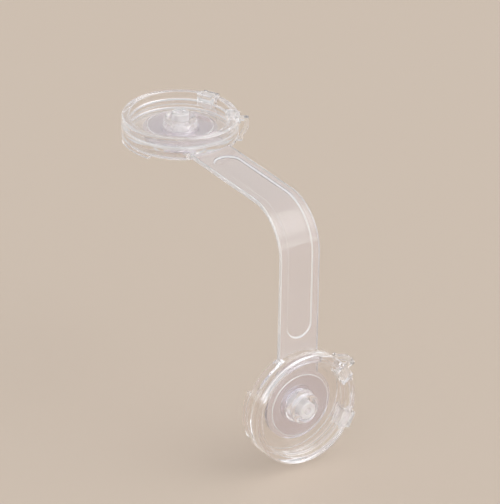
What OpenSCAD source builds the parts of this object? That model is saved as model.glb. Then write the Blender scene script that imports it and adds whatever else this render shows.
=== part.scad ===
// Clear cabinet safety lock: two round stick-on heads joined by a flexible strap.
// Origin: centre of the upper adhesive face. +Z out of that face, -Y towards the front of the cabinet.

/* [Lock head] */
// Outside diameter of each head
head_d = 38; // [34:0.5:44]
// Height of the head from its mounting surface to the top of the cover ring
head_h = 8.5; // [8.2:0.1:10]
// Height of the seam between the housing and the cover ring
seam_h = 5.4; // [5.2:0.1:5.6]
// Wall thickness of the housing
wall_t = 2; // [1.6:0.1:2.2]
// Thickness of the housing's floor
floor_t = 1; // [0.8:0.1:1.1]
// Wall thickness of the cover ring
ring_t = 2.5; // [2.3:0.1:2.8]
// Rounding of the cover ring's outer top edge
ring_round = 0.8; // [0.4:0.1:1.2]
// Thickness of the cover ring's locating spigot
spigot_t = 0.7; // [0.5:0.1:0.8]

/* [Anchor] */
// Thickness of the adhesive pad
pad_t = 0.8; // [0.75:0.05:1]
// Thickness of the anchor plate
plate_t = 0.7; // [0.6:0.05:0.9]
// Gap between the anchor plate's rim and the hooks that pass it
rim_gap = 0.3; // [0.2:0.05:0.4]
// How far the hooks reach under the anchor plate's rim
hook_bite = 0.7; // [0.5:0.05:0.9]
// Thickness of the hooks
hook_t = 0.5; // [0.4:0.05:0.55]
// Gap between the hooks and the adhesive pad
pad_gap = 0.5; // [0.3:0.1:0.8]
// Thickness of the fixed hook's skirt
skirt_t = 0.9; // [0.7:0.1:1.2]
// Arc of the fixed hook
hook_arc = 50; // [30:1:70]

/* [Post] */
// Diameter of the post
post_d = 5.8; // [5:0.1:6.4]
// Height of the post's end above the mounting surface
post_h = 9.3; // [8.6:0.1:10.4]
// Diameter of the hole in the post's end
post_bore_d = 2.6; // [1.8:0.1:3.2]
// Depth of the hole in the post's end
post_bore_depth = 5; // [3:0.1:6]
// Chamfer round the post's end
post_chamfer = 0.3; // [0.2:0.05:0.5]
// Diameter of the post's foot flange
post_flange_d = 8.4; // [7.4:0.1:8.8]
// Thickness of the post's foot flange
post_flange_t = 0.8; // [0.6:0.1:1]
// Diameter of the spigot that holds the post in the anchor plate
post_spigot_d = 4.4; // [3.6:0.1:4.8]

/* [Hub] */
// Diameter of the hub's raised disc
hub_d = 21.4; // [19:0.1:23]
// Thickness of the hub's raised disc
hub_t = 0.55; // [0.4:0.05:0.7]
// Diameter of the collar at its foot
collar_d = 11.4; // [10.8:0.1:12.4]
// Diameter of the collar at its top
collar_top_d = 10.1; // [9.8:0.1:10.8]
// Height of the collar above the raised disc
collar_h = 3.05; // [2.4:0.05:3.4]
// Diameter of the cup in the collar's top
cup_d = 8.4; // [7.6:0.1:8.8]
// Depth of the cup in the collar's top
cup_depth = 1.8; // [1:0.1:2]
// Diameter of the hub's sleeve
sleeve_d = 10.6; // [10.4:0.1:11]
// Diameter of the lip that holds the strap's eye on the sleeve
lip_d = 12.6; // [12:0.1:13.4]
// Thickness of the lip
lip_t = 0.4; // [0.3:0.05:0.5]

/* [Strap] */
// Width of the strap
strap_w = 14.8; // [12:0.1:18]
// Thickness of the strap
strap_t = 1.6; // [1.4:0.05:1.75]
// Diameter of the strap's eyes
eye_d = 24; // [20:0.5:28]
// Width of the recessed channel
channel_w = 9.5; // [7:0.1:10.5]
// Depth of the recessed channel
channel_depth = 0.6; // [0.3:0.05:0.8]
// Distance from a head's axis to the channel's round end
channel_start = 23.5; // [23:0.1:28]
// Outside radius of the strap's bend
bend_r = 16; // [12:0.1:20]
// Distance from the upper head's axis to the front mounting surface
top_reach = 67; // [56:0.1:90]
// Distance from the top mounting surface to the lower head's axis
front_reach = 64.8; // [54:0.1:90]

/* [Release levers] */
// Width of each lever
lever_w = 5.3; // [4.4:0.1:6]
// Angle between the two levers of a head
lever_spread = 58; // [52:1:76]
// Turn of the lever pair towards the strap
lever_turn = 3; // [0:0.5:6]
// Diameter of the levers' trunnions
trunnion_d = 1.4; // [1.2:0.05:1.5]
// Length of each trunnion
trunnion_l = 1.1; // [0.8:0.1:1.4]
// Depth of the trunnions' axis below the top of the cover ring
trunnion_drop = 1.2; // [1.15:0.05:1.3]
// Length of the finger pad
finger_l = 3.3; // [2.8:0.1:3.6]
// Height of the finger pad above the cover ring
finger_rise = 0.55; // [0.3:0.05:0.9]
// Thickness of the finger pad and its apron
finger_t = 0.75; // [0.6:0.05:0.9]
// Gap between a lever's apron and the cover ring's spigot
apron_gap = 0.55; // [0.5:0.05:0.8]
// Thickness of the bridge between a lever and its claw
bridge_t = 1.1; // [0.9:0.05:1.3]
// Rounding of the outer top corners
tip_round = 0.6; // [0.4:0.05:0.7]
// Thickness of the claws' arms
claw_t = 0.8; // [0.7:0.05:0.9]
// Width of the near lever's claw
claw_w = 2; // [1.6:0.1:3]
// How far the near lever's claw bulges beyond the far lever's straight claw
claw_bulge = 1.9; // [1:0.1:2.4]
// Share of that bulge on the claw's inner side
claw_swell = 0.6; // [0.5:0.05:0.8]

/* [Clearances] */
// Radial clearance of a turning fit
bearing_gap = 0.05; // [0.02:0.01:0.08]
// Clearance of a fixed fit
seat_gap = 0.1; // [0.05:0.01:0.15]
// Height of the running gap between the anchor plate and what turns on it
run_gap = 0.1; // [0.08:0.01:0.15]
// Clearance beside and under a lever in its notch
lever_gap = 0.3; // [0.2:0.05:0.4]
// Gap in the strap where the flexing bend ends
flex_gap = 0.05; // [0.02:0.01:0.1]

/* [Hidden] */
$fn = 96;

clear = [0.93, 0.95, 0.94, 0.45];
frosted = [0.95, 0.95, 0.92, 0.6];
tinted = [0.88, 0.82, 0.83, 0.55];
cut = 1;

// Heights above the mounting surface
plate_top = pad_t + plate_t;
deck = plate_top + run_gap;
strap_top = deck + strap_t;
floor_top = strap_top + floor_t;
hub_top = floor_top + hub_t;
collar_top = hub_top + collar_h;
flange_top = plate_top + post_flange_t;
hook_top = pad_t - run_gap;
hook_foot = hook_top - hook_t;

// Radii
head_r = head_d / 2;
inner_r = head_r - wall_t;
ring_r = head_r - ring_t;
hook_r = head_r - skirt_t;
plate_r = hook_r - rim_gap;
nose_r = plate_r - hook_bite;
pad_r = nose_r - pad_gap;
spigot_r = inner_r - seat_gap;

// Levers
trunnion_h = head_h - trunnion_drop;
trunnion_at = head_r - ring_t / 2;
saddle_h = trunnion_h - trunnion_d / 2 - seat_gap;
notch_h = saddle_h - lever_gap;
arm_in = head_r + lever_gap;
near_angle = -lever_spread / 2 - lever_turn;
far_angle = lever_spread / 2 - lever_turn;

// Strap, in the side view: the bend's centre and the length of each straight run
bend_y = bend_r - strap_top - top_reach;
bend_z = strap_top - bend_r;
upper_run_l = -bend_y;
lower_run_l = front_reach + bend_z;

// Distance from the axis to a chord of the given width in a circle
function chord_in(r, width) = sqrt(r * r - width * width / 4);
function arc(cx, cy, r, from, to, steps = 6) =
    [for (i = [0:steps]) let(a = from + (to - from) * i / steps) [cx + r * cos(a), cy + r * sin(a)]];

// Places its children on the upper head, or mirrored onto the lower head
module on_head(lower) {
    if (lower)
        translate([0, -top_reach, -front_reach])
            mirror([0, 1, 1])
                children();
    else
        children();
}

module tube(r_out, r_in, z_from, z_to) {
    difference() {
        translate([0, 0, z_from])
            cylinder(r = r_out, h = z_to - z_from);
        translate([0, 0, z_from - cut])
            cylinder(r = r_in, h = z_to - z_from + 2 * cut);
    }
}

module adhesive_pad() {
    color(frosted)
        cylinder(r = pad_r, h = pad_t);
}

module anchor_plate() {
    color(clear)
        tube(plate_r, post_spigot_d / 2 + seat_gap, pad_t, plate_top);
}

module post() {
    r = post_d / 2;
    color(clear)
        difference() {
            rotate_extrude()
                polygon([
                    [0, pad_t],
                    [post_spigot_d / 2, pad_t],
                    [post_spigot_d / 2, plate_top],
                    [post_flange_d / 2, plate_top],
                    [post_flange_d / 2, flange_top],
                    [r, flange_top],
                    [r, post_h - post_chamfer],
                    [r - post_chamfer, post_h],
                    [0, post_h]
                ]);
            translate([0, 0, post_h - post_bore_depth])
                cylinder(d = post_bore_d, h = post_bore_depth + cut);
        }
}

// The hook that holds the head's back edge under the anchor plate
module fixed_hook() {
    rotate([0, 0, 180 - hook_arc / 2])
        rotate_extrude(angle = hook_arc)
            polygon([
                [nose_r, hook_foot],
                [head_r, hook_foot],
                [head_r, strap_top],
                [hook_r, strap_top],
                [hook_r, hook_top],
                [nose_r, hook_top]
            ]);
}

module housing() {
    color(clear)
        difference() {
            union() {
                tube(head_r, inner_r, deck, seam_h);
                tube(inner_r + cut / 2, sleeve_d / 2 + seat_gap, strap_top, floor_top);
                fixed_hook();
            }
            translate([-strap_w / 2 - seat_gap, -head_r - cut, deck - cut])
                cube([strap_w + 2 * seat_gap, head_r, strap_t + cut]);
        }
}

module hub() {
    color(clear)
        difference() {
            union() {
                translate([0, 0, floor_top])
                    cylinder(d = hub_d, h = hub_t);
                translate([0, 0, hub_top])
                    cylinder(d1 = collar_d, d2 = collar_top_d, h = collar_h);
                translate([0, 0, deck])
                    cylinder(d = sleeve_d, h = floor_top - deck);
                translate([0, 0, deck])
                    cylinder(d = lip_d, h = lip_t);
            }
            cylinder(r = post_d / 2 + bearing_gap, h = collar_top + cut);
            cylinder(r = post_flange_d / 2 + rim_gap, h = flange_top + 2 * run_gap);
            translate([0, 0, collar_top - cup_depth])
                cylinder(d = cup_d, h = cup_depth + cut);
        }
}

module ring_section() {
    difference() {
        translate([ring_r, seam_h])
            square([ring_t, head_h - seam_h]);
        translate([head_r - ring_round, head_h - ring_round])
            difference() {
                square(ring_round + cut);
                circle(r = ring_round);
            }
    }
    translate([spigot_r - spigot_t, floor_top])
        square([spigot_t, seam_h + spigot_t - floor_top]);
}

module cover_ring() {
    notch_w = lever_w + 2 * lever_gap;
    pivot_l = lever_w + 2 * trunnion_l + 2 * lever_gap;
    color(clear)
        difference() {
            rotate_extrude()
                ring_section();
            for (a = [near_angle, far_angle])
                rotate([0, 0, a]) {
                    translate([ring_r - cut, -notch_w / 2, notch_h])
                        cube([ring_t + 2 * cut, notch_w, head_h - notch_h + cut]);
                    translate([trunnion_at, 0, trunnion_h])
                        rotate([90, 0, 0])
                            cylinder(r = trunnion_d / 2 + bearing_gap, h = pivot_l, center = true);
                }
        }
}

// Side view of a lever's body: finger pad, apron and the saddle over the cover ring's notch
function body_outline() =
    let(
        apron_out = chord_in(spigot_r - spigot_t, lever_w) - apron_gap,
        apron_in = apron_out - finger_t,
        apron_foot = floor_top + 2 * lever_gap,
        pad_in = apron_in - lever_gap,
        pad_out = pad_in + finger_l,
        pad_top = head_h + finger_rise
    )
    concat(
        [[pad_in, pad_top], [pad_out, pad_top], [pad_out + finger_rise / 2, head_h]],
        arc(arm_in - tip_round, head_h - tip_round, tip_round, 90, 0),
        [[arm_in, saddle_h], [apron_out + lever_gap, saddle_h], [apron_out, saddle_h - lever_gap]],
        [[apron_out, apron_foot], [apron_in, apron_foot]],
        [[apron_in, pad_top - finger_t], [pad_in, pad_top - finger_t]]
    );

// Side view of a claw: the bridge out of the notch, the arm and the nose under the anchor plate
function claw_outline(bulge) =
    let(
        arm_out = arm_in + claw_t,
        claw_out = arm_out + bulge,
        claw_in = arm_in + bulge * claw_swell,
        elbow_h = seam_h - lever_gap,
        shin_h = deck + strap_t / 2,
        heel_h = deck - lever_gap - seat_gap,
        nose_cut = hook_t / 3
    )
    concat(
        [[trunnion_at, head_h]],
        arc(claw_out - tip_round, head_h - tip_round, tip_round, 90, 0),
        bulge > 0 ? [[claw_out, elbow_h], [arm_out, deck]] : [],
        arc(arm_out - hook_t, hook_foot + hook_t, hook_t, 0, -90),
        [[nose_r, hook_foot], [nose_r, hook_top - nose_cut], [nose_r + nose_cut, hook_top]],
        [[hook_r, hook_top], [hook_r, heel_h], [arm_in, heel_h]],
        bulge > 0 ? [[arm_in, shin_h], [claw_in, elbow_h]] : [],
        [[claw_in, head_h - bridge_t], [trunnion_at, head_h - bridge_t]]
    );

// Stands a side view up and gives it a width
module slab(width) {
    rotate([90, 0, 0])
        linear_extrude(height = width, center = true)
            children();
}

module lever(angle, bulge, width) {
    color(clear)
        rotate([0, 0, angle]) {
            slab(lever_w)
                polygon(body_outline());
            translate([0, (width - lever_w) / 2, 0])
                slab(width)
                    polygon(claw_outline(bulge));
            translate([trunnion_at, 0, trunnion_h])
                rotate([90, 0, 0])
                    cylinder(d = trunnion_d, h = lever_w + 2 * trunnion_l, center = true);
        }
}

// A straight run of the strap: the eye under the housing's floor and the run to the bend
module strap_run(run_l) {
    channel_r = channel_w / 2;
    color(tinted)
        difference() {
            union() {
                translate([0, 0, deck])
                    cylinder(d = eye_d, h = strap_t);
                translate([-strap_w / 2, -run_l, deck])
                    cube([strap_w, run_l, strap_t]);
            }
            cylinder(r = sleeve_d / 2 + seat_gap, h = strap_top + cut);
            cylinder(r = lip_d / 2 + seat_gap, h = deck + lip_t);
            translate([0, 0, strap_top - channel_depth]) {
                translate([0, -channel_start - channel_r, 0])
                    cylinder(r = channel_r, h = channel_depth + cut);
                translate([-channel_r, -run_l - cut, 0])
                    cube([channel_w, run_l + cut - channel_start - channel_r, channel_depth + cut]);
            }
        }
}

module bend_section() {
    difference() {
        translate([bend_r - strap_t, -strap_w / 2])
            square([strap_t, strap_w]);
        translate([bend_r - channel_depth, -channel_w / 2])
            square([channel_depth + cut, channel_w]);
    }
}

module upper_adhesive_pad() on_head(false) adhesive_pad();
module upper_anchor_plate() on_head(false) anchor_plate();
module upper_post() on_head(false) post();
module upper_housing() on_head(false) housing();
module upper_hub() on_head(false) hub();
module upper_cover_ring() on_head(false) cover_ring();
module upper_near_lever() on_head(false) lever(near_angle, claw_bulge, claw_w);
module upper_far_lever() on_head(false) lever(far_angle, 0, lever_w);
module lower_adhesive_pad() on_head(true) adhesive_pad();
module lower_anchor_plate() on_head(true) anchor_plate();
module lower_post() on_head(true) post();
module lower_housing() on_head(true) housing();
module lower_hub() on_head(true) hub();
module lower_cover_ring() on_head(true) cover_ring();
module lower_near_lever() on_head(true) lever(near_angle, claw_bulge, claw_w);
module lower_far_lever() on_head(true) lever(far_angle, 0, lever_w);
module strap_upper_run() on_head(false) strap_run(upper_run_l);
module strap_lower_run() on_head(true) strap_run(lower_run_l - flex_gap);

module strap_bend() {
    color(tinted)
        translate([0, bend_y, bend_z])
            rotate([90, 0, -90])
                rotate_extrude(angle = 90)
                    bend_section();
}

upper_adhesive_pad();
upper_anchor_plate();
upper_post();
upper_housing();
upper_hub();
upper_cover_ring();
upper_near_lever();
upper_far_lever();
lower_adhesive_pad();
lower_anchor_plate();
lower_post();
lower_housing();
lower_hub();
lower_cover_ring();
lower_near_lever();
lower_far_lever();
strap_upper_run();
strap_bend();
strap_lower_run();
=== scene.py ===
from math import cos, pi, radians, sin

import bmesh
import bpy
from mathutils import Matrix, Quaternion, Vector


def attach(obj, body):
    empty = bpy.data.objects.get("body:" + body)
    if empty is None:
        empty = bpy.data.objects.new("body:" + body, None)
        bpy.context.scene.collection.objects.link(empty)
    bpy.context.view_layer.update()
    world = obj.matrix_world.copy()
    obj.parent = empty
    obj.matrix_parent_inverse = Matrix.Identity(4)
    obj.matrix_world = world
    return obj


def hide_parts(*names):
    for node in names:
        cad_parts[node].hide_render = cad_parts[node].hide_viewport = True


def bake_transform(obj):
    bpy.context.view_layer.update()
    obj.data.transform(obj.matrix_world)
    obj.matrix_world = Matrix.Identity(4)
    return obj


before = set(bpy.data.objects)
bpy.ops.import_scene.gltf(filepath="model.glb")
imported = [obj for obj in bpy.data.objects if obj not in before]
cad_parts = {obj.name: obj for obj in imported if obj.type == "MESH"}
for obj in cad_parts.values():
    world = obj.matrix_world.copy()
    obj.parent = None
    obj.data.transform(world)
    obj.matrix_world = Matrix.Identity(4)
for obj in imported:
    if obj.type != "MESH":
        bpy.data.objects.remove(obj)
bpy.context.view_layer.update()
scene = bpy.context.scene
mm = 0.001   # the pieces are modelled in millimetres and scaled at the end
print("frame loaded:", len(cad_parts), "nodes")

# camera at the photograph's viewing angle
cameraSetup = {
    "place": (-0.97465, -1.48358, 0.86910),
    "back": (-0.4983, -0.7373, 0.4562),
    "roll": 1.135,
    "lens": 438.5,
    "sensor": 36,
    "nearest": 0.05,
}


def addCamera():
    data = bpy.data.cameras.new("photoCamera")
    data.lens = cameraSetup["lens"]
    data.sensor_width = cameraSetup["sensor"]
    data.sensor_fit = "AUTO"
    data.clip_start = cameraSetup["nearest"]
    camera = bpy.data.objects.new("photoCamera", data)
    scene.collection.objects.link(camera)
    level = Vector(cameraSetup["back"]).to_track_quat("Z", "Y")
    camera.rotation_mode = "QUATERNION"
    camera.rotation_quaternion = level @ Quaternion((0, 0, 1), radians(cameraSetup["roll"]))
    camera.location = cameraSetup["place"]
    scene.camera = camera


addCamera()
print("camera placed")


# materials
noiseSpan = (0.3, 0.7)   # where most of a noise's values lie


def newMaterial(name):
    material = bpy.data.materials.new(name)
    material.use_nodes = True
    return material, material.node_tree, material.node_tree.nodes["Principled BSDF"]


def addNoise(tree, scale, detail):
    where = tree.nodes.new("ShaderNodeTexCoord")
    noise = tree.nodes.new("ShaderNodeTexNoise")
    noise.inputs["Scale"].default_value = scale
    noise.inputs["Detail"].default_value = detail
    tree.links.new(where.outputs["Object"], noise.inputs["Vector"])
    return noise.outputs["Fac"]


def addRange(tree, value, low, high, span=noiseSpan, curve="LINEAR"):
    spread = tree.nodes.new("ShaderNodeMapRange")
    spread.interpolation_type = curve
    spread.inputs["From Min"].default_value, spread.inputs["From Max"].default_value = span
    spread.inputs["To Min"].default_value = low
    spread.inputs["To Max"].default_value = high
    tree.links.new(value, spread.inputs["Value"])
    return spread.outputs["Result"]


def addBump(tree, height, depth, before=None):
    bump = tree.nodes.new("ShaderNodeBump")
    bump.inputs["Distance"].default_value = depth
    tree.links.new(height, bump.inputs["Height"])
    if before:
        tree.links.new(before, bump.inputs["Normal"])
    return bump.outputs["Normal"]


paleTint = (0.99, 0.985, 0.99, 1)
clearLook = {
    "tint": (0.975, 0.968, 0.975, 1),
    "clear": 1,             # less than 1 leaves a faint haze
    "ior": 1.49,
    "roughness": (0, 0.02),
    "waveScale": 140,       # slow waves left by the mould
    "waveDepth": 0.000004,
    "grainScale": 2600,     # fine handling marks
    "grainDepth": 0.0000001,
}
hubLook = {**clearLook, "tint": (0.93, 0.92, 0.94, 1)}
collarLook = {**clearLook, "clear": 0.8}
postLook = {**clearLook, "clear": 0.6}
rimLook = {**clearLook, "tint": paleTint, "clear": 0.5}
leverLook = {**clearLook, "tint": paleTint, "clear": 0.86}
strapLook = {
    "tint": (0.955, 0.94, 0.98, 1),
    "clear": 0.88,
    "ior": 1.5,
    "roughness": (0.05, 0.11),
    "waveScale": 90,
    "waveDepth": 0.000006,
    "grainScale": 1800,
    "grainDepth": 0.0000002,
}
strapSideLook = {**strapLook, "tint": paleTint, "clear": 0.47, "roughness": (0.1, 0.25)}
adhesiveLook = {
    "tint": (0.985, 0.98, 0.97, 1),
    "clear": 1,
    "ior": 1.47,
    "roughness": (0.03, 0.16),
    "waveScale": 260,
    "waveDepth": 0.00001,
    "grainScale": 1500,
    "grainDepth": 0.0000005,
}
# smears are finer than the mould's waves
marks = {"waveDetail": 1, "grainDetail": 3, "smearDetail": 4, "smearScale": 3}


def clearMaterial(name, look):
    material, tree, shader = newMaterial(name)
    shader.inputs["Base Color"].default_value = look["tint"]
    shader.inputs["Transmission Weight"].default_value = look["clear"]
    shader.inputs["IOR"].default_value = look["ior"]
    wave = addNoise(tree, look["waveScale"], marks["waveDetail"])
    grain = addNoise(tree, look["grainScale"], marks["grainDetail"])
    smear = addNoise(tree, look["waveScale"] * marks["smearScale"], marks["smearDetail"])
    tree.links.new(addRange(tree, smear, *look["roughness"]), shader.inputs["Roughness"])
    waved = addBump(tree, wave, look["waveDepth"])
    tree.links.new(addBump(tree, grain, look["grainDepth"], waved), shader.inputs["Normal"])
    return material


clearPlastic = clearMaterial("clearPlastic", clearLook)
hubPlastic = clearMaterial("hubPlastic", hubLook)
collarPlastic = clearMaterial("collarPlastic", collarLook)
rimPlastic = clearMaterial("rimPlastic", rimLook)
postPlastic = clearMaterial("postPlastic", postLook)
leverPlastic = clearMaterial("leverPlastic", leverLook)
strapPlastic = clearMaterial("strapPlastic", strapLook)
strapSide = clearMaterial("strapSide", strapSideLook)
adhesiveFilm = clearMaterial("adhesiveFilm", adhesiveLook)
print("materials made")


# modelling helpers, all in millimetres on the upper head's axis
fineness = {"edge": 2, "corner": 5, "crown": 6, "spin": 144, "post": 96, "disc": 96, "rod": 32,
            "channel": 64}
roundProfile = 0.5   # a bevel's section is part of a circle
poleGap = 0.0005   # a spin's points this close are one point
weldGap = 0.004    # and so are points of a piece before it is softened
sharpTurn = 35     # edges that turn by more are softened
smoothTurn = 38    # edges that turn by less are shaded round
touch = 0.01       # heights and places this close are the same
past = 1           # how far a cutter reaches past what it cuts


def outlineMesh(points, closed=True):
    mesh = bmesh.new()
    dots = [mesh.verts.new((x, 0, z)) for x, z in points]
    for first, second in zip(dots, dots[1:]):
        mesh.edges.new((first, second))
    if closed:
        mesh.edges.new((dots[-1], dots[0]))
    return mesh


def roundCorner(mesh, x, z, radius, segments=fineness["corner"]):
    corner = min(mesh.verts, key=lambda v: (v.co - Vector((x, 0, z))).length)
    bmesh.ops.bevel(mesh, geom=[corner], offset=radius, segments=segments, profile=roundProfile,
                    affect="VERTICES", material=-1)


def settleFaces(mesh):
    # a spin leaves its faces in any order, so they are put in the same one on each run
    mesh.verts.index_update()
    rows = []
    for face in mesh.faces:
        corners = [v.index for v in face.verts]
        first = corners.index(min(corners))
        rows.append(corners[first:] + corners[:first])
    settled = bmesh.new()
    dots = [settled.verts.new(v.co) for v in mesh.verts]
    for row in sorted(rows):
        settled.faces.new([dots[i] for i in row])
    settled.normal_update()
    mesh.free()
    return settled


def spinRound(mesh, steps=fineness["spin"]):
    bmesh.ops.spin(mesh, geom=mesh.verts[:] + mesh.edges[:], cent=(0, 0, 0), axis=(0, 0, 1),
                   dvec=(0, 0, 0), angle=2 * pi, steps=steps, use_merge=True, use_duplicate=False)
    bmesh.ops.remove_doubles(mesh, verts=mesh.verts, dist=poleGap)
    bmesh.ops.recalc_face_normals(mesh, faces=mesh.faces)
    return settleFaces(mesh)


def standUp(mesh, width, shift=0):
    # the side view becomes a slab of the given width across y
    face = bmesh.ops.contextual_create(mesh, geom=mesh.edges[:])["faces"]
    bmesh.ops.translate(mesh, verts=mesh.verts, vec=(0, shift - width / 2, 0))
    grown = bmesh.ops.extrude_face_region(mesh, geom=face)["geom"]
    moved = [v for v in grown if isinstance(v, bmesh.types.BMVert)]
    bmesh.ops.translate(mesh, verts=moved, vec=(0, width, 0))
    bmesh.ops.recalc_face_normals(mesh, faces=mesh.faces)
    return mesh


def softenEdges(mesh, radius, segments=fineness["edge"], only=lambda edge: True):
    bmesh.ops.remove_doubles(mesh, verts=mesh.verts, dist=weldGap)
    bmesh.ops.dissolve_degenerate(mesh, edges=mesh.edges, dist=weldGap)
    sharp = [e for e in mesh.edges
             if e.is_manifold and e.calc_face_angle(0) > radians(sharpTurn) and only(e)]
    bmesh.ops.bevel(mesh, geom=sharp, offset=radius, segments=segments, profile=roundProfile,
                    affect="EDGES", material=-1, clamp_overlap=True)
    bmesh.ops.dissolve_degenerate(mesh, edges=mesh.edges, dist=weldGap)


def toObject(mesh, name):
    data = bpy.data.meshes.new(name)
    mesh.to_mesh(data)
    mesh.free()
    piece = bpy.data.objects.new(name, data)
    scene.collection.objects.link(piece)
    return piece


def combine(mesh, tool, how="DIFFERENCE"):
    body = toObject(mesh, "body")
    cutter = toObject(tool, "cutter")
    step = body.modifiers.new("combine", "BOOLEAN")
    step.operation = how
    step.solver = "EXACT"
    step.object = cutter
    result = bmesh.new()
    result.from_object(body, bpy.context.evaluated_depsgraph_get())
    for helper in (body, cutter):
        data = helper.data
        bpy.data.objects.remove(helper)
        bpy.data.meshes.remove(data)
    return result


def barMesh(low, high):
    mesh = bmesh.new()
    bmesh.ops.create_cube(mesh, size=1)
    low, high = Vector(low), Vector(high)
    bmesh.ops.scale(mesh, verts=mesh.verts, vec=high - low)
    bmesh.ops.translate(mesh, verts=mesh.verts, vec=(low + high) / 2)
    return mesh


def discMesh(radius, low, high, segments=fineness["disc"]):
    mesh = bmesh.new()
    bmesh.ops.create_cone(mesh, cap_ends=True, segments=segments, radius1=radius, radius2=radius,
                          depth=high - low)
    bmesh.ops.translate(mesh, verts=mesh.verts, vec=(0, 0, (low + high) / 2))
    return mesh


def turnMesh(mesh, angle, axis="Z"):
    bmesh.ops.rotate(mesh, verts=mesh.verts, cent=(0, 0, 0),
                     matrix=Matrix.Rotation(radians(angle), 3, axis))
    return mesh


# the lower head is the upper one mirrored across the strap's bend
headReach = {"top": 67, "front": 64.8}   # each head's axis to the other head's mounting face
lowerPlace = Matrix(((1, 0, 0, 0), (0, 0, -1, -headReach["top"]),
                     (0, -1, 0, -headReach["front"]), (0, 0, 0, 1)))
finished = []


def finishPiece(mesh, name, materials, nodes, body=None, lower=False):
    if lower:
        bmesh.ops.transform(mesh, matrix=lowerPlace, verts=mesh.verts)
    bmesh.ops.recalc_face_normals(mesh, faces=mesh.faces)
    bmesh.ops.scale(mesh, verts=mesh.verts, vec=(mm, mm, mm))
    for face in mesh.faces:
        face.smooth = True
    piece = toObject(mesh, name)
    piece.data.set_sharp_from_angle(angle=radians(smoothTurn))
    for material in materials:
        piece.data.materials.append(material)
    weigh = piece.modifiers.new("faceNormals", "WEIGHTED_NORMAL")
    weigh.keep_sharp = True
    if body:
        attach(piece, body)
    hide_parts(*nodes)
    finished.append(piece)
    return piece


def finishRim(mesh, radius, index):
    # the turned edge of a disc has its own finish
    for face in mesh.faces:
        if face.calc_center_median().xy.length > radius:
            face.material_index = index


padShape = {"radius": 16.6, "top": 0.78, "edge": 0.12}


def adhesivePad():
    shape = padShape
    mesh = spinRound(outlineMesh([(0, 0), (shape["radius"], 0), (shape["radius"], shape["top"]),
                                  (0, shape["top"])], closed=False))
    softenEdges(mesh, shape["edge"])
    finishRim(mesh, shape["radius"] - shape["edge"], index=1)
    return mesh


plateShape = {"radius": 17.8, "hole": 2.32, "bottom": 0.82, "top": 1.5, "edge": 0.14}


def anchorPlate():
    shape = plateShape
    mesh = spinRound(outlineMesh([
        (shape["hole"], shape["bottom"]), (shape["radius"], shape["bottom"]),
        (shape["radius"], shape["top"]), (shape["hole"], shape["top"])]))
    softenEdges(mesh, shape["edge"])
    finishRim(mesh, shape["radius"] - shape["edge"], index=1)
    return mesh


postShape = {"foot": 2.2, "footFrom": 0.82, "plateTop": 1.52, "flange": 4.2, "flangeTop": 2.3,
             "radius": 2.9, "top": 9.3, "bore": 1.3, "boreFloor": 4.3, "chamfer": 0.3, "edge": 0.1}


def post():
    shape = postShape
    mesh = outlineMesh([
        (0, shape["footFrom"]), (shape["foot"], shape["footFrom"]),
        (shape["foot"], shape["plateTop"]), (shape["flange"], shape["plateTop"]),
        (shape["flange"], shape["flangeTop"]), (shape["radius"], shape["flangeTop"]),
        (shape["radius"], shape["top"] - shape["chamfer"]),
        (shape["radius"] - shape["chamfer"], shape["top"]), (shape["bore"], shape["top"]),
        (shape["bore"], shape["boreFloor"]), (0, shape["boreFloor"])], closed=False)
    mesh = spinRound(mesh, fineness["post"])
    softenEdges(mesh, shape["edge"])
    return mesh


housingShape = {
    "radius": 19, "inside": 17, "bottom": 1.6, "top": 5.38, "floorUnder": 3.22, "floorTop": 4.2,
    "hole": 5.4, "skirt": 18.1, "nose": 17.1, "hookTop": 0.7, "hookFoot": 0.2,
    "hookTurn": 50, "hookSlack": 0.5, "window": 7.5, "windowDepth": 5, "windowTop": 3.219,
    "rim": 0.25, "foot": 0.3}


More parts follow.
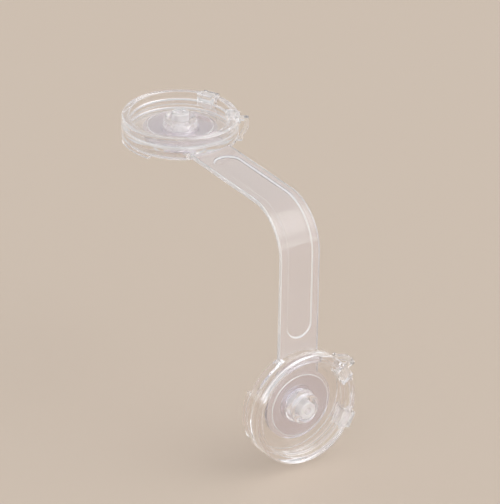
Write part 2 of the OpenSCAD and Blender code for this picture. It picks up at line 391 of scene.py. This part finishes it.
def housing():
    shape = housingShape
    mesh = outlineMesh([
        (shape["hole"], shape["floorUnder"]), (shape["inside"], shape["floorUnder"]),
        (shape["inside"], shape["bottom"]), (shape["skirt"], shape["bottom"]),
        (shape["radius"], shape["bottom"]), (shape["radius"], shape["top"]),
        (shape["inside"], shape["top"]), (shape["inside"], shape["floorTop"]),
        (shape["hole"], shape["floorTop"])])
    roundCorner(mesh, shape["radius"], shape["bottom"], shape["foot"])
    roundCorner(mesh, shape["radius"], shape["top"], shape["rim"])
    roundCorner(mesh, shape["inside"], shape["top"], shape["rim"])
    mesh = spinRound(mesh)

    def overHook(point):
        turn = Vector((point.x, point.y)).angle_signed(Vector((-1, 0)))
        return abs(turn) < radians(shape["hookTurn"] / 2 + shape["hookSlack"])

    # the wall stays straight over the fixed hook, which is drawn down out of the skirt's
    # underside, then in under the anchor plate
    wallMiddle = (shape["skirt"] + shape["radius"]) / 2
    for v in mesh.verts:
        low = v.co.z < shape["bottom"] + shape["foot"]
        if low and v.co.xy.length > wallMiddle and overHook(v.co):
            v.co.xy *= shape["radius"] / v.co.xy.length
    mesh.normal_update()
    under = [f for f in mesh.faces if round(f.normal.z) == -1
             and overHook(f.calc_center_median())
             and f.calc_center_median().xy.length > shape["skirt"]]
    for height in (shape["hookTop"], shape["hookFoot"]):
        grown = bmesh.ops.extrude_face_region(mesh, geom=under)["geom"]
        bmesh.ops.delete(mesh, geom=under, context="FACES")
        under = [f for f in grown if isinstance(f, bmesh.types.BMFace)]
        for v in {v for f in under for v in f.verts}:
            v.co.z = height
    mesh.normal_update()
    inner = [f for f in mesh.faces if f.calc_center_median().z < shape["hookTop"]
             and f.calc_center_median().xy.length < shape["skirt"]]
    grown = bmesh.ops.extrude_face_region(mesh, geom=inner)["geom"]
    bmesh.ops.delete(mesh, geom=inner, context="FACES")
    for v in (v for v in grown if isinstance(v, bmesh.types.BMVert)):
        v.co.xy *= shape["nose"] / shape["skirt"]
    bmesh.ops.recalc_face_normals(mesh, faces=mesh.faces)
    window = barMesh((-shape["window"], -shape["radius"] - past, shape["bottom"] - past),
                     (shape["window"], shape["windowDepth"] - shape["radius"], shape["windowTop"]))
    return combine(mesh, window)


hubShape = {
    "disc": 10.7, "discFrom": 4.22, "discTop": 4.75, "collar": 5.7, "collarFoot": 5.8,
    "collarTop": 5.05, "top": 7.8, "cup": 4.2, "cupFloor": 6, "bearing": 2.95,
    "bearingFrom": 2.5, "flangeRoom": 4.5, "sleeve": 5.3, "lip": 6.3, "lipTop": 1.97,
    "bottom": 1.6, "edge": 0.17}


def hub():
    shape = hubShape
    mesh = spinRound(outlineMesh([
        (shape["flangeRoom"], shape["bottom"]), (shape["lip"], shape["bottom"]),
        (shape["lip"], shape["lipTop"]), (shape["sleeve"], shape["lipTop"]),
        (shape["sleeve"], shape["discFrom"]), (shape["disc"], shape["discFrom"]),
        (shape["disc"], shape["discTop"]), (shape["collar"], shape["discTop"]),
        (shape["collarTop"], shape["top"]), (shape["cup"], shape["top"]),
        (shape["cup"], shape["cupFloor"]), (shape["bearing"], shape["cupFloor"]),
        (shape["bearing"], shape["bearingFrom"]), (shape["flangeRoom"], shape["bearingFrom"])]))
    softenEdges(mesh, shape["edge"])
    for face in mesh.faces:   # the collar has its own finish too
        middle = face.calc_center_median()
        if middle.z > shape["discTop"] and middle.xy.length < shape["collarFoot"]:
            face.material_index = 1
    finishRim(mesh, shape["disc"] - shape["edge"], index=2)
    return mesh


leverTurns = {"near": -32, "far": 26}
ringShape = {
    "radius": 19, "inside": 16.5, "bottom": 5.42, "top": 8.5, "crown": 0.8, "spigot": 16.9,
    "spigotIn": 16.2, "spigotFrom": 4.22, "ledge": 6.1, "notch": 2.95, "notchFloor": 6.2,
    "pivotAt": 17.75, "pivotHeight": 7.3, "pivotHole": 0.75, "pivotLength": 8.1,
    "lip": 0.35, "foot": 0.25, "step": 0.12}


def coverRing():
    shape = ringShape
    mesh = outlineMesh([
        (shape["spigotIn"], shape["spigotFrom"]), (shape["spigot"], shape["spigotFrom"]),
        (shape["spigot"], shape["bottom"]), (shape["radius"], shape["bottom"]),
        (shape["radius"], shape["top"]), (shape["inside"], shape["top"]),
        (shape["inside"], shape["ledge"]), (shape["spigotIn"], shape["ledge"])])
    roundCorner(mesh, shape["radius"], shape["top"], shape["crown"], fineness["crown"])
    roundCorner(mesh, shape["inside"], shape["top"], shape["lip"])
    roundCorner(mesh, shape["radius"], shape["bottom"], shape["foot"])
    roundCorner(mesh, shape["spigotIn"], shape["ledge"], shape["step"])
    mesh = spinRound(mesh)
    for turn in leverTurns.values():
        notch = barMesh((shape["inside"] - past, -shape["notch"], shape["notchFloor"]),
                        (shape["radius"] + past, shape["notch"], shape["top"] + past))
        mesh = combine(mesh, turnMesh(notch, turn))
        mesh = combine(mesh, turnMesh(pivotRod(shape["pivotHole"], shape["pivotLength"]), turn))
    return mesh


def pivotRod(radius, length):
    rod = discMesh(radius, -length / 2, length / 2, fineness["rod"])
    turnMesh(rod, 90, "X")
    bmesh.ops.translate(rod, verts=rod.verts,
                        vec=(ringShape["pivotAt"], 0, ringShape["pivotHeight"]))
    return rod


leverShape = {
    "width": 5.3, "padIn": 14.38, "padOut": 17.68, "padTop": 9.05, "padUnder": 8.3, "slope": 0.275,
    "top": 8.5, "armIn": 19.3, "armOut": 20.1, "saddle": 6.5, "apronIn": 14.68, "apronOut": 15.43,
    "apronFoot": 4.8, "fillet": 0.3, "tip": 0.6, "heel": 1.2, "skirt": 18.1, "nose": 17.1,
    "noseTop": 0.7, "noseCut": 0.17, "foot": 0.2, "footRound": 0.5,
    "pin": 0.7, "pinLength": 7.5, "edge": 0.11}
clawShape = {"width": 2, "side": 2.63, "top": 8.48, "out": 22, "swell": 20.44, "elbow": 5.1,
             "shin": 2.4, "knee": 1.6, "bridge": 7.4, "root": 18.2}


def noseOutline():
    shape = leverShape
    return [(shape["nose"], shape["foot"]), (shape["nose"], shape["noseTop"] - shape["noseCut"]),
            (shape["nose"] + shape["noseCut"], shape["noseTop"]),
            (shape["skirt"], shape["noseTop"]), (shape["skirt"], shape["heel"]),
            (shape["armIn"], shape["heel"])]


def padOutline():
    shape = leverShape
    return [(shape["padIn"], shape["padTop"]), (shape["padOut"], shape["padTop"]),
            (shape["padOut"] + shape["slope"], shape["top"])]


def apronOutline():
    shape = leverShape
    return [(shape["armIn"], shape["saddle"]),
            (shape["apronOut"] + shape["fillet"], shape["saddle"]),
            (shape["apronOut"], shape["saddle"] - shape["fillet"]),
            (shape["apronOut"], shape["apronFoot"]), (shape["apronIn"], shape["apronFoot"]),
            (shape["apronIn"], shape["padUnder"]), (shape["padIn"], shape["padUnder"])]


def farLever():
    shape = leverShape
    arm = [(shape["armOut"], shape["top"]), (shape["armOut"], shape["foot"])]
    mesh = outlineMesh(padOutline() + arm + noseOutline() + apronOutline())
    roundCorner(mesh, shape["armOut"], shape["top"], shape["tip"])
    roundCorner(mesh, shape["armOut"], shape["foot"], shape["footRound"])
    standUp(mesh, shape["width"])
    softenEdges(mesh, shape["edge"])
    return finishLever(mesh, leverTurns["far"])


def nearLever():
    shape = leverShape
    claw = clawShape
    mesh = outlineMesh(padOutline() + [(shape["armIn"], shape["top"])] + apronOutline())
    roundCorner(mesh, shape["armIn"], shape["top"], shape["tip"])
    standUp(mesh, shape["width"])
    softenEdges(mesh, shape["edge"])
    arm = outlineMesh([
        (claw["root"], claw["top"]), (claw["out"], claw["top"]), (claw["out"], claw["elbow"]),
        (shape["armOut"], claw["knee"]), (shape["armOut"], shape["foot"])] + noseOutline() + [
        (shape["armIn"], claw["shin"]), (claw["swell"], claw["elbow"]),
        (claw["swell"], claw["bridge"]), (claw["root"], claw["bridge"])])
    roundCorner(arm, claw["out"], claw["top"], shape["tip"])
    roundCorner(arm, claw["out"], claw["elbow"], shape["tip"])
    roundCorner(arm, shape["armOut"], shape["foot"], shape["footRound"])
    standUp(arm, claw["width"], claw["width"] / 2 - claw["side"])
    softenEdges(arm, shape["edge"])
    return finishLever(combine(mesh, arm, "UNION"), leverTurns["near"])


def finishLever(mesh, turn):
    mesh = combine(mesh, pivotRod(leverShape["pin"], leverShape["pinLength"]), "UNION")
    return turnMesh(mesh, turn)


# label, maker, finishes, slot, node and body
headPieces = [
    ("AdhesivePad", adhesivePad, [adhesiveFilm, rimPlastic], "adhesive", "adhesive_pad", "anchor"),
    ("AnchorPlate", anchorPlate, [clearPlastic, rimPlastic],
     "clear_plastic", "anchor_plate", "anchor"),
    ("Post", post, [postPlastic], "clear_plastic", "post", "anchor"),
    ("Housing", housing, [clearPlastic], "clear_plastic", "housing", "head"),
    ("Hub", hub, [hubPlastic, collarPlastic, rimPlastic], "clear_plastic", "hub", "head"),
    ("CoverRing", coverRing, [clearPlastic], "clear_plastic", "cover_ring", "head"),
    ("NearLever", nearLever, [leverPlastic], "clear_plastic", "near_lever", "near_lever"),
    ("FarLever", farLever, [leverPlastic], "clear_plastic", "far_lever", "far_lever"),
]
for side in ("upper", "lower"):
    for label, build, materials, slot, node, body in headPieces:
        finishPiece(build(), side + label, materials, [side + "_" + node],
                    side + "_" + body, side == "lower")
    print(side, "head modelled")


# strap: cut out flat, then laid over the bend
strapShape = {
    "width": 14.8, "bottom": 1.6, "top": 3.2, "eye": 12, "eyeHole": 5.4, "lipRoom": 6.4,
    "lipTop": 2.01, "channel": 4.75, "channelFloor": 2.6, "channelFrom": 23.5,
    "upperRun": 54.2, "lowerRun": 52, "bendInside": 14.4, "bendAt": (-54.2, -12.8),
    "bendCuts": 24, "runCuts": 20, "flexReach": 15,
    "edge": 0.45, "edgeSteps": 4, "brim": 0.2, "brimSteps": 3,
    "channelFoot": 0.36, "footSteps": 4, "channelSlope": 0.4, "clearOfEye": 18, "wallLean": 0.85}


def flatStrap(shape, length):
    half = shape["width"] / 2
    brim = shape["channel"] + shape["channelSlope"]

    def betweenEyes(point):
        return shape["clearOfEye"] - length < point.y < -shape["clearOfEye"]

    def isLong(edge):
        return edge.calc_length() > length / 2

    def atFoot(edge):
        return all(abs(v.co.z - shape["channelFloor"]) < touch for v in edge.verts)

    def atBrim(edge):
        return all(v.co.z > shape["top"] - touch and abs(v.co.x) < brim + touch
                   and betweenEyes(v.co) for v in edge.verts)

    mesh = barMesh((-half, -length, shape["bottom"]), (half, 0, shape["top"]))
    softenEdges(mesh, shape["edge"], shape["edgeSteps"], isLong)
    for place in (0, -length):
        eye = discMesh(shape["eye"], shape["bottom"], shape["top"])
        bmesh.ops.translate(eye, verts=eye.verts, vec=(0, place, 0))
        mesh = combine(mesh, eye, "UNION")
    holes = ((shape["eyeHole"], shape["top"] + past), (shape["lipRoom"], shape["lipTop"]))
    for place in (0, -length):
        for radius, high in holes:
            hole = discMesh(radius, shape["bottom"] - past, high)
            bmesh.ops.translate(hole, verts=hole.verts, vec=(0, place, 0))
            mesh = combine(mesh, hole)
    # a cone drawn out into the channel's long round-ended shape, with sloping walls
    channel = bmesh.new()
    depth = shape["top"] - shape["channelFloor"]
    bmesh.ops.create_cone(channel, cap_ends=True, segments=fineness["channel"], depth=depth * 2,
                          radius1=shape["channel"] - shape["channelSlope"], radius2=brim)
    bmesh.ops.translate(channel, verts=channel.verts, vec=(0, 0, shape["top"]))
    turnMesh(channel, 180 / fineness["channel"])   # half a step, so no corner is on the middle
    reach = length / 2 - shape["channelFrom"] - shape["channel"]
    for v in channel.verts:
        v.co.y += (reach if v.co.y > 0 else -reach) - length / 2
    mesh = combine(mesh, channel)
    softenEdges(mesh, shape["channelFoot"], shape["footSteps"], atFoot)
    softenEdges(mesh, shape["brim"], shape["brimSteps"], atBrim)
    for face in mesh.faces:   # the strap's sides and the channel's walls have their own finish
        if abs(face.normal.z) < shape["wallLean"] and betweenEyes(face.calc_center_median()):
            face.material_index = 1
    return mesh


def makeStrap():
    shape = strapShape
    bendRadius = shape["bendInside"] + (shape["top"] - shape["bottom"]) / 2
    bendLength = bendRadius * pi / 2
    length = shape["upperRun"] + bendLength + shape["lowerRun"]
    mesh = flatStrap(shape, length)
    bendSteps, runSteps = shape["bendCuts"], shape["runCuts"]
    cuts = [shape["upperRun"] + bendLength * i / bendSteps for i in range(bendSteps + 1)]
    cuts += [shape["upperRun"] * i / runSteps for i in range(1, runSteps)]
    cuts += [length - shape["lowerRun"] * i / runSteps for i in range(1, runSteps)]
    for cut in cuts:
        bmesh.ops.bisect_plane(mesh, geom=mesh.verts[:] + mesh.edges[:] + mesh.faces[:],
                               plane_co=(0, -cut, 0), plane_no=(0, 1, 0))
    bendY, bendZ = shape["bendAt"]
    for v in mesh.verts:
        along = -v.co.y - shape["upperRun"]
        reach = shape["bendInside"] + v.co.z - shape["bottom"]
        turn = min(max(along / bendLength, 0), 1) * pi / 2
        beyond = max(along - bendLength, 0)
        if along > 0:
            v.co.y = bendY - reach * sin(turn)
            v.co.z = bendZ + reach * cos(turn) - beyond
    strap = finishPiece(mesh, "strap", [strapPlastic, strapSide],
                        ["strap_upper_run", "strap_bend", "strap_lower_run"])
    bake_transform(strap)


makeStrap()
print("strap laid over its bend,", len(finished), "pieces")


# plain pale floor and soft studio light
stageSetup = {
    "floorHeight": -0.0875,
    "floorSize": 5,
    "floorSquares": 4,
    "floorColour": (0.61, 0.515, 0.43, 1),
    "floorShine": 0.2,
    "floorRoughness": (0.7, 0.85),
    "floorGrain": 12,
    "floorDetail": 3,
    "skyColour": (1, 1, 1, 1),
    "skyTop": 0.66,
    "skyEdge": 1.25,        # a bright band low round the studio
    "skyBand": (0.08, 0.3),
    "backdrop": (0.80, 0.76, 0.72, 1),
    "glows": {
        "key": {"towards": (0.5, -0.46, 0.74), "inner": 8, "outer": 34, "strength": 1.3},
        "front": {"towards": (-0.3, -0.9, 0.35), "inner": 20, "outer": 80, "strength": 0.5},
    },
}


def addFloor():
    mesh = bmesh.new()
    squares = stageSetup["floorSquares"]
    bmesh.ops.create_grid(mesh, x_segments=squares, y_segments=squares,
                          size=stageSetup["floorSize"])
    bmesh.ops.translate(mesh, verts=mesh.verts, vec=(0, 0, stageSetup["floorHeight"]))
    floor = toObject(mesh, "floor")
    material, tree, shader = newMaterial("floorFinish")
    shader.inputs["Base Color"].default_value = stageSetup["floorColour"]
    shader.inputs["Specular IOR Level"].default_value = stageSetup["floorShine"]
    grain = addNoise(tree, stageSetup["floorGrain"], stageSetup["floorDetail"])
    tree.links.new(addRange(tree, grain, *stageSetup["floorRoughness"]), shader.inputs["Roughness"])
    # through the plastic and in its gloss the floor shows as the same plain colour
    material.cycles.emission_sampling = "NONE"
    shown = tree.nodes.new("ShaderNodeEmission")
    shown.inputs["Color"].default_value = stageSetup["floorColour"]
    path = tree.nodes.new("ShaderNodeLightPath")
    either = tree.nodes.new("ShaderNodeMath")
    either.operation = "MAXIMUM"
    mix = tree.nodes.new("ShaderNodeMixShader")
    tree.links.new(path.outputs["Is Transmission Ray"], either.inputs[0])
    tree.links.new(path.outputs["Is Glossy Ray"], either.inputs[1])
    tree.links.new(either.outputs["Value"], mix.inputs["Fac"])
    tree.links.new(shader.outputs["BSDF"], mix.inputs[1])
    tree.links.new(shown.outputs["Emission"], mix.inputs[2])
    tree.links.new(mix.outputs["Shader"], tree.nodes["Material Output"].inputs["Surface"])
    floor.data.materials.append(material)


def addSky():
    world = bpy.data.worlds.new("studioSky")
    world.use_nodes = True
    scene.world = world
    tree = world.node_tree
    shade = tree.nodes["Background"]
    shade.inputs["Color"].default_value = stageSetup["skyColour"]
    where = tree.nodes.new("ShaderNodeTexCoord")
    split = tree.nodes.new("ShaderNodeSeparateXYZ")
    tree.links.new(where.outputs["Generated"], split.inputs["Vector"])
    total = addRange(tree, split.outputs["Z"], stageSetup["skyEdge"], stageSetup["skyTop"],
                     stageSetup["skyBand"], "SMOOTHSTEP")
    for glow in stageSetup["glows"].values():   # broad soft lights without an edge
        facing = tree.nodes.new("ShaderNodeVectorMath")
        facing.operation = "DOT_PRODUCT"
        facing.inputs[1].default_value = Vector(glow["towards"]).normalized()
        tree.links.new(where.outputs["Generated"], facing.inputs[0])
        edge = cos(radians(glow["outer"])), cos(radians(glow["inner"]))
        shine = addRange(tree, facing.outputs["Value"], 0, glow["strength"], edge, "SMOOTHSTEP")
        joined = tree.nodes.new("ShaderNodeMath")
        tree.links.new(total, joined.inputs[0])
        tree.links.new(shine, joined.inputs[1])
        total = joined.outputs["Value"]
    tree.links.new(total, shade.inputs["Strength"])
    seen = tree.nodes.new("ShaderNodeBackground")
    seen.inputs["Color"].default_value = stageSetup["backdrop"]
    path = tree.nodes.new("ShaderNodeLightPath")
    mix = tree.nodes.new("ShaderNodeMixShader")
    tree.links.new(path.outputs["Is Camera Ray"], mix.inputs["Fac"])
    tree.links.new(shade.outputs["Background"], mix.inputs[1])
    tree.links.new(seen.outputs["Background"], mix.inputs[2])
    tree.links.new(mix.outputs["Shader"], tree.nodes["World Output"].inputs["Surface"])


addFloor()
addSky()
scene.view_settings.view_transform = "Standard"
scene.cycles.use_denoising = True
scene.cycles.blur_glossy = 0
longPath = {"clear": 256, "haze": 128}   # light turns many times inside clear plastic
scene.cycles.max_bounces = longPath["clear"]
scene.cycles.transmission_bounces = longPath["clear"]
scene.cycles.glossy_bounces = longPath["clear"]
scene.cycles.diffuse_bounces = longPath["haze"]
print("stage and light set")
